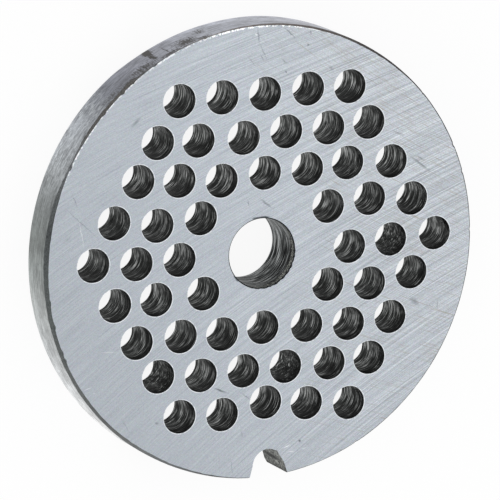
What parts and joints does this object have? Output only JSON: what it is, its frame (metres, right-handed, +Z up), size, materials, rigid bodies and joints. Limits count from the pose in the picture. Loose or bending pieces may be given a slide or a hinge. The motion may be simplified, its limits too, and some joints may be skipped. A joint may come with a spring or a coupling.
{
  "type": "meat grinder plate",
  "caption": "Ground steel disc for a meat grinder, with a field of round holes in a triangular lattice, a plain bore in the middle and a locating notch in its rim.",
  "frame": {"origin": "on the bore's axis, level with the back face that the plate lies on", "axes": "+Z up out of the knife face along the bore's axis; -Y through the middle of the rim notch; +X to the right of the notch as the knife face is read with the notch below"},
  "size_m": [0.07, 0.0699, 0.0078],
  "materials": {
    "ground_steel": "surface ground faces, scaled and scratched rim, drilled holes left dark"
  },
  "bodies": {
    "root": {"grinder_plate": "ground_steel"}
  },
  "joints": []
}
